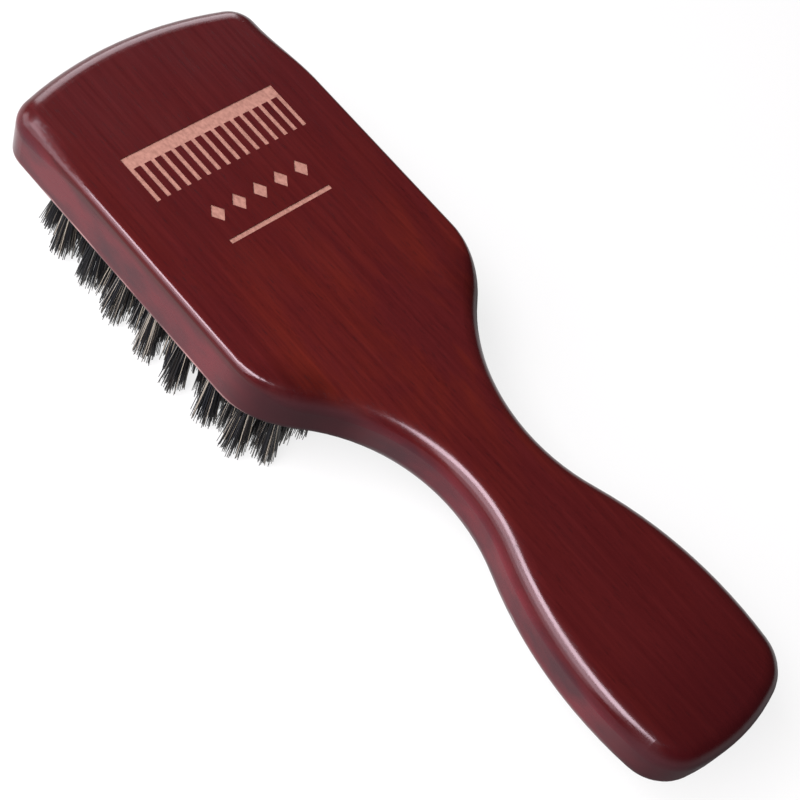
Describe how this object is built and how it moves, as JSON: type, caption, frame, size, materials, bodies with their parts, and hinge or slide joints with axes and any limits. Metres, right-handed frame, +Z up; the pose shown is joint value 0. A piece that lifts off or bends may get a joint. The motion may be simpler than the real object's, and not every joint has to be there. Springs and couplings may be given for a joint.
{
  "type": "fade brush",
  "caption": "Flat-backed wooden barber's fade brush with a waisted paddle handle, a rounded rectangular head and short stiff tufts of dark bristle.",
  "frame": {"origin": "below the middle of the brush's length and width, on the plane that the bristle tips stand on", "axes": "+X along the brush towards the end of the handle, +Y across it, +Z up out of the flat engraved back, bristles pointing down"},
  "size_m": [0.19, 0.0618, 0.0303],
  "materials": {
    "stained_wood": "dark red-brown stain under satin-gloss lacquer",
    "bristle": "stiff bristle, mostly black with some pale strands",
    "anchor_wire": "flat drawn wire"
  },
  "bodies": {
    "root": {"wood_body": "stained_wood", "tuft_row_01": "bristle", "tuft_row_02": "bristle", "tuft_row_03": "bristle", "tuft_row_04": "bristle", "tuft_row_05": "bristle", "tuft_row_06": "bristle", "tuft_row_07": "bristle", "tuft_row_08": "bristle", "tuft_row_09": "bristle", "tuft_row_10": "bristle", "tuft_row_11": "bristle", "tuft_row_12": "bristle", "tuft_row_13": "bristle", "tuft_row_14": "bristle", "tuft_row_15": "bristle", "tuft_row_16": "bristle", "tuft_row_17": "bristle", "anchor_row_01": "anchor_wire", "anchor_row_02": "anchor_wire", "anchor_row_03": "anchor_wire", "anchor_row_04": "anchor_wire", "anchor_row_05": "anchor_wire", "anchor_row_06": "anchor_wire", "anchor_row_07": "anchor_wire", "anchor_row_08": "anchor_wire", "anchor_row_09": "anchor_wire", "anchor_row_10": "anchor_wire", "anchor_row_11": "anchor_wire", "anchor_row_12": "anchor_wire", "anchor_row_13": "anchor_wire", "anchor_row_14": "anchor_wire", "anchor_row_15": "anchor_wire", "anchor_row_16": "anchor_wire", "anchor_row_17": "anchor_wire"}
  },
  "joints": []
}
